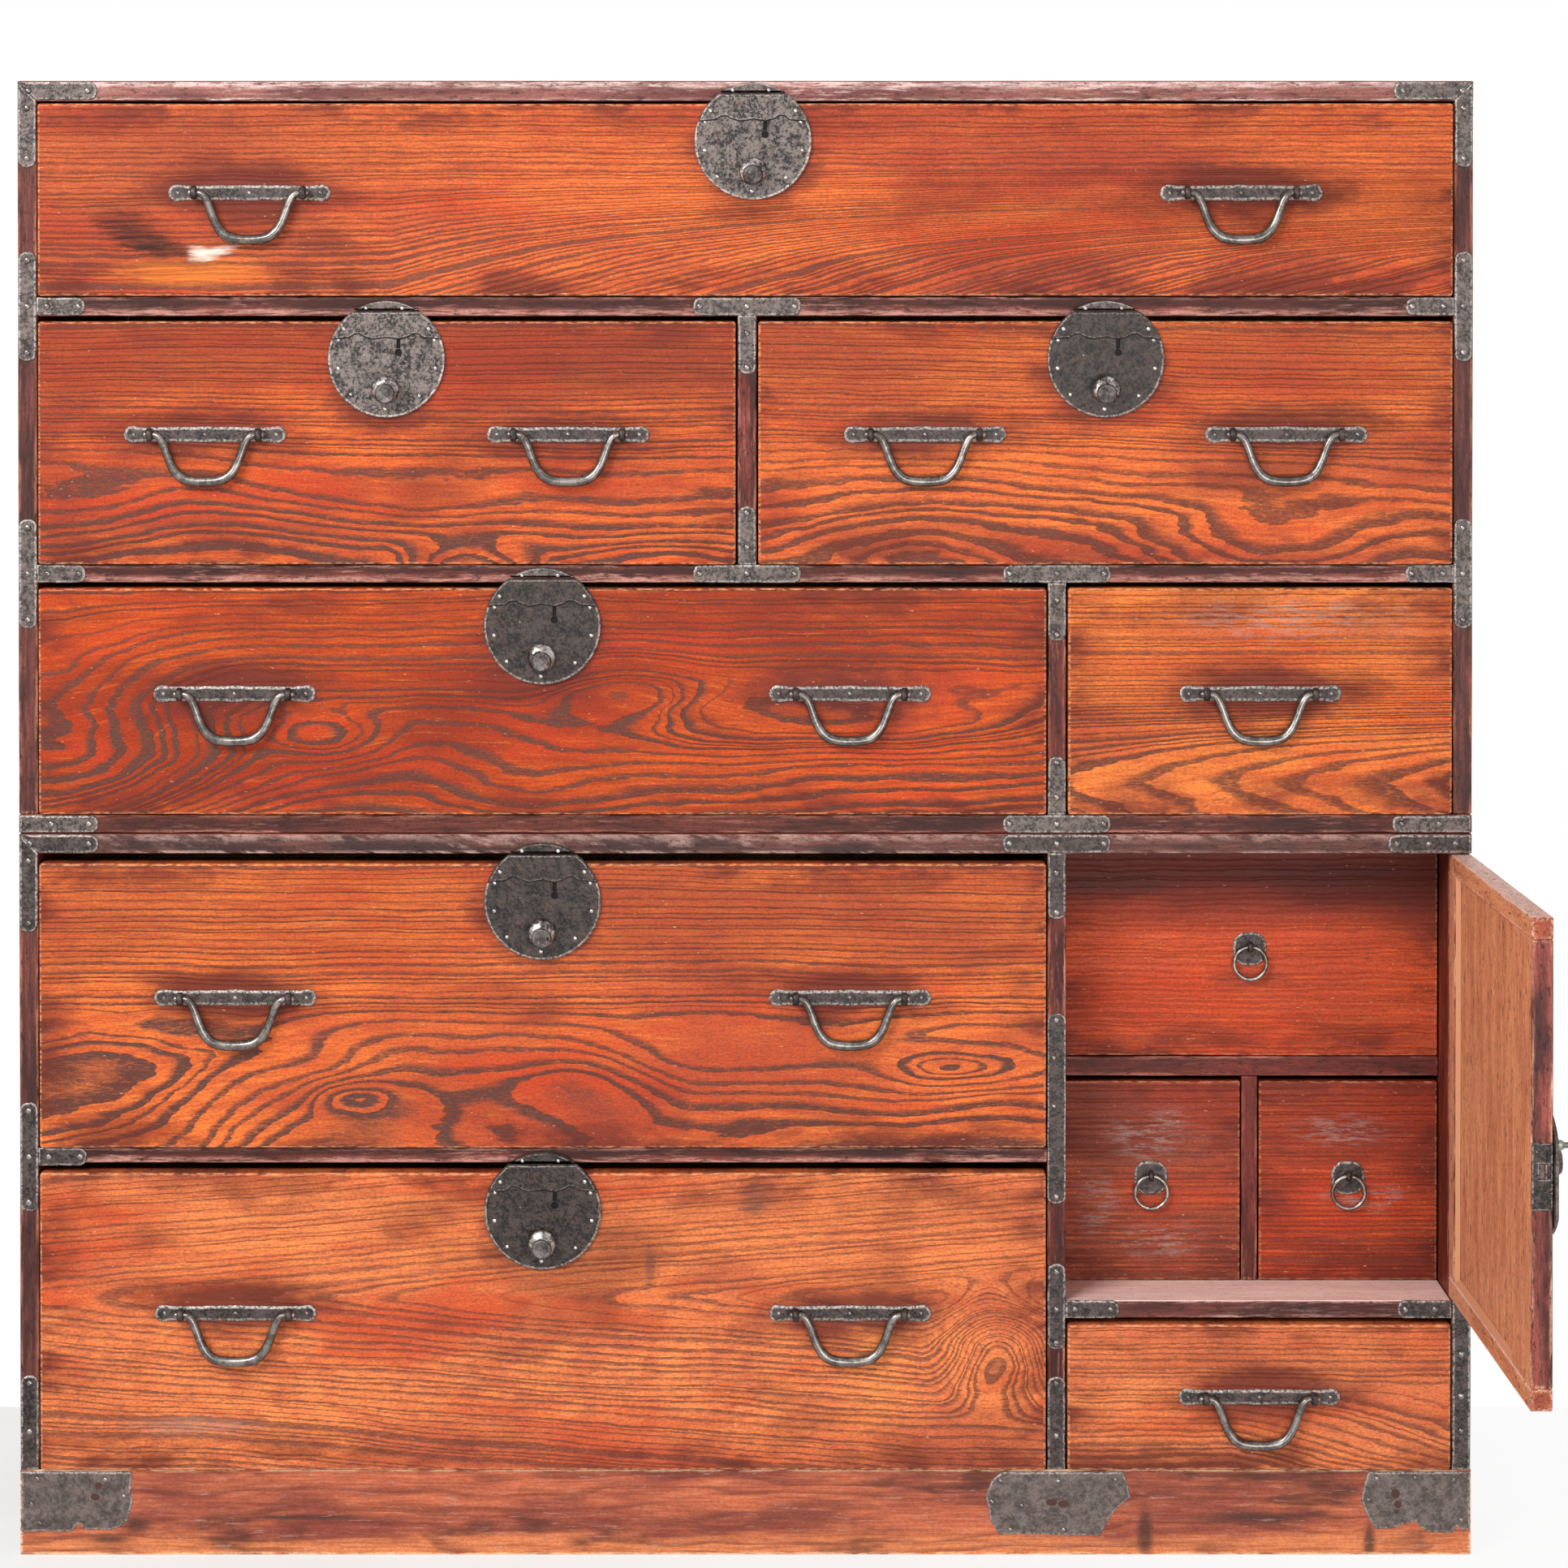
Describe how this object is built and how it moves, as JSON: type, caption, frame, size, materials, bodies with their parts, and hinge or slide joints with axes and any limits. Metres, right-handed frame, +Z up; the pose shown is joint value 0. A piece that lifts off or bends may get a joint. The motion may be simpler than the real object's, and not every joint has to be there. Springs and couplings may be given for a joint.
{
  "type": "clothing chest",
  "caption": "Two-section stacking wooden clothing chest with iron-bound drawers, drop handles, round push-button locks and an open hinged compartment door.",
  "frame": {"origin": "middle of the plinth's underside, at the front of the chest, on the floor", "axes": "+X to the right seen from the front, +Y into the depth, +Z up"},
  "size_m": [1.1396, 0.6955, 1.091],
  "materials": {
    "front_wood": "worn red-orange lacquer over bold grain",
    "frame_wood": "dark worn lacquer",
    "plain_wood": "bare, aged",
    "iron": "hammered, mottled dark patina",
    "bright_iron": "forged, rubbed bright by hands"
  },
  "bodies": {
    "lower_case": {"lower_left_side": "frame_wood", "lower_right_side": "frame_wood", "lower_top": "frame_wood", "lower_base": "plain_wood", "lower_back": "plain_wood", "plinth": "frame_wood", "lower_partitions": "frame_wood", "compartment_rack": "frame_wood"},
    "upper_case": {"upper_left_side": "frame_wood", "upper_right_side": "frame_wood", "upper_top": "frame_wood", "upper_base": "frame_wood", "upper_back": "plain_wood", "upper_partitions": "frame_wood"},
    "door": {"door_frame": "front_wood", "door_panel": "front_wood", "door_lock_plate": "iron"},
    "top_drawer": {"top_drawer": "front_wood", "top_drawer_lock_plate": "iron"},
    "top_drawer_left_bail": {"top_drawer_left_bail": "bright_iron"},
    "top_drawer_right_bail": {"top_drawer_right_bail": "bright_iron"},
    "top_drawer_lock_button": {"top_drawer_lock_button": "bright_iron"},
    "middle_left_drawer": {"middle_left_drawer": "front_wood", "middle_left_drawer_lock_plate": "iron"},
    "middle_left_drawer_left_bail": {"middle_left_drawer_left_bail": "bright_iron"},
    "middle_left_drawer_right_bail": {"middle_left_drawer_right_bail": "bright_iron"},
    "middle_left_drawer_lock_button": {"middle_left_drawer_lock_button": "bright_iron"},
    "middle_right_drawer": {"middle_right_drawer": "front_wood", "middle_right_drawer_lock_plate": "iron"},
    "middle_right_drawer_left_bail": {"middle_right_drawer_left_bail": "bright_iron"},
    "middle_right_drawer_right_bail": {"middle_right_drawer_right_bail": "bright_iron"},
    "middle_right_drawer_lock_button": {"middle_right_drawer_lock_button": "bright_iron"},
    "low_left_drawer": {"low_left_drawer": "front_wood", "low_left_drawer_lock_plate": "iron"},
    "low_left_drawer_left_bail": {"low_left_drawer_left_bail": "bright_iron"},
    "low_left_drawer_right_bail": {"low_left_drawer_right_bail": "bright_iron"},
    "low_left_drawer_lock_button": {"low_left_drawer_lock_button": "bright_iron"},
    "low_right_drawer": {"low_right_drawer": "front_wood"},
    "low_right_drawer_bail": {"low_right_drawer_bail": "bright_iron"},
    "upper_deep_drawer": {"upper_deep_drawer": "front_wood", "upper_deep_drawer_lock_plate": "iron"},
    "upper_deep_drawer_left_bail": {"upper_deep_drawer_left_bail": "bright_iron"},
    "upper_deep_drawer_right_bail": {"upper_deep_drawer_right_bail": "bright_iron"},
    "upper_deep_drawer_lock_button": {"upper_deep_drawer_lock_button": "bright_iron"},
    "lower_deep_drawer": {"lower_deep_drawer": "front_wood", "lower_deep_drawer_lock_plate": "iron"},
    "lower_deep_drawer_left_bail": {"lower_deep_drawer_left_bail": "bright_iron"},
    "lower_deep_drawer_right_bail": {"lower_deep_drawer_right_bail": "bright_iron"},
    "lower_deep_drawer_lock_button": {"lower_deep_drawer_lock_button": "bright_iron"},
    "corner_drawer": {"corner_drawer": "front_wood"},
    "corner_drawer_bail": {"corner_drawer_bail": "bright_iron"},
    "inner_wide_drawer": {"inner_wide_drawer": "front_wood"},
    "inner_wide_drawer_ring": {"inner_wide_drawer_ring": "bright_iron"},
    "inner_left_drawer": {"inner_left_drawer": "front_wood"},
    "inner_left_drawer_ring": {"inner_left_drawer_ring": "bright_iron"},
    "inner_right_drawer": {"inner_right_drawer": "front_wood"},
    "inner_right_drawer_ring": {"inner_right_drawer_ring": "bright_iron"},
    "door_lock_button": {"door_lock_button": "bright_iron"},
    "door_key": {"door_key": "bright_iron"},
    "door_bolt": {"door_bolt": "iron"}
  },
  "joints": [
    {"name": "door_hinge", "type": "hinge", "parent": "lower_case", "child": "door", "pos_m": [0.532, -0.004, 0.35451], "axis": [0, 0, 1], "range_deg": [-90.5, 74.5]},
    {"name": "top_drawer_slide", "type": "slide", "parent": "upper_case", "child": "top_drawer", "axis": [0, -1, 0], "range_m": [0, 0.3]},
    {"name": "middle_left_drawer_slide", "type": "slide", "parent": "upper_case", "child": "middle_left_drawer", "axis": [0, -1, 0], "range_m": [0, 0.3]},
    {"name": "middle_right_drawer_slide", "type": "slide", "parent": "upper_case", "child": "middle_right_drawer", "axis": [0, -1, 0], "range_m": [0, 0.3]},
    {"name": "low_left_drawer_slide", "type": "slide", "parent": "upper_case", "child": "low_left_drawer", "axis": [0, -1, 0], "range_m": [0, 0.3]},
    {"name": "low_right_drawer_slide", "type": "slide", "parent": "upper_case", "child": "low_right_drawer", "axis": [0, -1, 0], "range_m": [0, 0.3]},
    {"name": "upper_deep_drawer_slide", "type": "slide", "parent": "lower_case", "child": "upper_deep_drawer", "axis": [0, -1, 0], "range_m": [0, 0.3]},
    {"name": "lower_deep_drawer_slide", "type": "slide", "parent": "lower_case", "child": "lower_deep_drawer", "axis": [0, -1, 0], "range_m": [0, 0.3]},
    {"name": "corner_drawer_slide", "type": "slide", "parent": "lower_case", "child": "corner_drawer", "axis": [0, -1, 0], "range_m": [0, 0.3]},
    {"name": "inner_wide_drawer_slide", "type": "slide", "parent": "lower_case", "child": "inner_wide_drawer", "axis": [0, -1, 0], "range_m": [0, 0.22]},
    {"name": "inner_left_drawer_slide", "type": "slide", "parent": "lower_case", "child": "inner_left_drawer", "axis": [0, -1, 0], "range_m": [0, 0.22]},
    {"name": "inner_right_drawer_slide", "type": "slide", "parent": "lower_case", "child": "inner_right_drawer", "axis": [0, -1, 0], "range_m": [0, 0.22]},
    {"name": "upper_case_lift", "type": "slide", "parent": "lower_case", "child": "upper_case", "axis": [0, 0, 1], "range_m": [0, 0.1]},
    {"name": "door_key_turn", "type": "hinge", "parent": "door", "child": "door_key", "pos_m": [0.54166, -0.27473, 0.36251], "axis": [1, 0.0087, 0], "range_deg": [0, 90]},
    {"name": "door_bolt_throw", "type": "slide", "parent": "door", "child": "door_bolt", "axis": [0.0087, -1, 0], "range_m": [0, 0.008]},
    {"name": "door_lock_button_push", "type": "slide", "parent": "door", "child": "door_lock_button", "axis": [-1, -0.0087, 0], "range_m": [0, 0.004]},
    {"name": "top_drawer_lock_button_push", "type": "slide", "parent": "top_drawer", "child": "top_drawer_lock_button", "axis": [0, 1, 0], "range_m": [0, 0.004]},
    {"name": "low_right_drawer_bail_swing", "type": "hinge", "parent": "low_right_drawer", "child": "low_right_drawer_bail", "pos_m": [0.37975, -0.0204, 0.63907], "axis": [-1, 0, 0], "range_deg": [0, 95]},
    {"name": "inner_wide_drawer_ring_swing", "type": "hinge", "parent": "inner_wide_drawer", "child": "inner_wide_drawer_ring", "pos_m": [0.37975, 0.0432, 0.44213], "axis": [-1, 0, 0], "range_deg": [0, 90]},
    {"name": "top_drawer_left_bail_swing", "type": "hinge", "parent": "top_drawer", "child": "top_drawer_left_bail", "pos_m": [-0.36505, -0.0204, 1.00812], "axis": [-1, 0, 0], "range_deg": [0, 95]},
    {"name": "top_drawer_right_bail_swing", "type": "hinge", "parent": "top_drawer", "child": "top_drawer_right_bail", "pos_m": [0.36505, -0.0204, 1.00812], "axis": [-1, 0, 0], "range_deg": [0, 95]},
    {"name": "middle_left_drawer_left_bail_swing", "type": "hinge", "parent": "middle_left_drawer", "child": "middle_left_drawer_left_bail", "pos_m": [-0.39802, -0.0204, 0.83025], "axis": [-1, 0, 0], "range_deg": [0, 95]},
    {"name": "middle_left_drawer_right_bail_swing", "type": "hinge", "parent": "middle_left_drawer", "child": "middle_left_drawer_right_bail", "pos_m": [-0.13048, -0.0204, 0.83025], "axis": [-1, 0, 0], "range_deg": [0, 95]},
    {"name": "middle_right_drawer_left_bail_swing", "type": "hinge", "parent": "middle_right_drawer", "child": "middle_right_drawer_left_bail", "pos_m": [0.1323, -0.0204, 0.83025], "axis": [-1, 0, 0], "range_deg": [0, 95]},
    {"name": "middle_right_drawer_right_bail_swing", "type": "hinge", "parent": "middle_right_drawer", "child": "middle_right_drawer_right_bail", "pos_m": [0.3986, -0.0204, 0.83025], "axis": [-1, 0, 0], "range_deg": [0, 95]},
    {"name": "low_left_drawer_left_bail_swing", "type": "hinge", "parent": "low_left_drawer", "child": "low_left_drawer_left_bail", "pos_m": [-0.37648, -0.0204, 0.63907], "axis": [-1, 0, 0], "range_deg": [0, 95]},
    {"name": "low_left_drawer_right_bail_swing", "type": "hinge", "parent": "low_left_drawer", "child": "low_left_drawer_right_bail", "pos_m": [0.07718, -0.0204, 0.63907], "axis": [-1, 0, 0], "range_deg": [0, 95]},
    {"name": "upper_deep_drawer_left_bail_swing", "type": "hinge", "parent": "upper_deep_drawer", "child": "upper_deep_drawer_left_bail", "pos_m": [-0.37648, -0.0204, 0.41447], "axis": [-1, 0, 0], "range_deg": [0, 95]},
    {"name": "upper_deep_drawer_right_bail_swing", "type": "hinge", "parent": "upper_deep_drawer", "child": "upper_deep_drawer_right_bail", "pos_m": [0.07718, -0.0204, 0.41447], "axis": [-1, 0, 0], "range_deg": [0, 95]},
    {"name": "lower_deep_drawer_left_bail_swing", "type": "hinge", "parent": "lower_deep_drawer", "child": "lower_deep_drawer_left_bail", "pos_m": [-0.37648, -0.0204, 0.18087], "axis": [-1, 0, 0], "range_deg": [0, 95]},
    {"name": "lower_deep_drawer_right_bail_swing", "type": "hinge", "parent": "lower_deep_drawer", "child": "lower_deep_drawer_right_bail", "pos_m": [0.07718, -0.0204, 0.18087], "axis": [-1, 0, 0], "range_deg": [0, 95]},
    {"name": "corner_drawer_bail_swing", "type": "hinge", "parent": "corner_drawer", "child": "corner_drawer_bail", "pos_m": [0.37975, -0.0204, 0.11882], "axis": [-1, 0, 0], "range_deg": [0, 95]},
    {"name": "inner_left_drawer_ring_swing", "type": "hinge", "parent": "inner_left_drawer", "child": "inner_left_drawer_ring", "pos_m": [0.30533, 0.0432, 0.26905], "axis": [-1, 0, 0], "range_deg": [0, 90]},
    {"name": "inner_right_drawer_ring_swing", "type": "hinge", "parent": "inner_right_drawer", "child": "inner_right_drawer_ring", "pos_m": [0.45417, 0.0432, 0.26905], "axis": [-1, 0, 0], "range_deg": [0, 90]},
    {"name": "middle_left_drawer_lock_button_push", "type": "slide", "parent": "middle_left_drawer", "child": "middle_left_drawer_lock_button", "axis": [0, 1, 0], "range_m": [0, 0.004]},
    {"name": "middle_right_drawer_lock_button_push", "type": "slide", "parent": "middle_right_drawer", "child": "middle_right_drawer_lock_button", "axis": [0, 1, 0], "range_m": [0, 0.004]},
    {"name": "low_left_drawer_lock_button_push", "type": "slide", "parent": "low_left_drawer", "child": "low_left_drawer_lock_button", "axis": [0, 1, 0], "range_m": [0, 0.004]},
    {"name": "upper_deep_drawer_lock_button_push", "type": "slide", "parent": "upper_deep_drawer", "child": "upper_deep_drawer_lock_button", "axis": [0, 1, 0], "range_m": [0, 0.004]},
    {"name": "lower_deep_drawer_lock_button_push", "type": "slide", "parent": "lower_deep_drawer", "child": "lower_deep_drawer_lock_button", "axis": [0, 1, 0], "range_m": [0, 0.004]}
  ],
  "couplings": [
    {"joint": "door_bolt_throw", "follows": "door_key_turn", "m_per_rad": 0.00509}
  ]
}
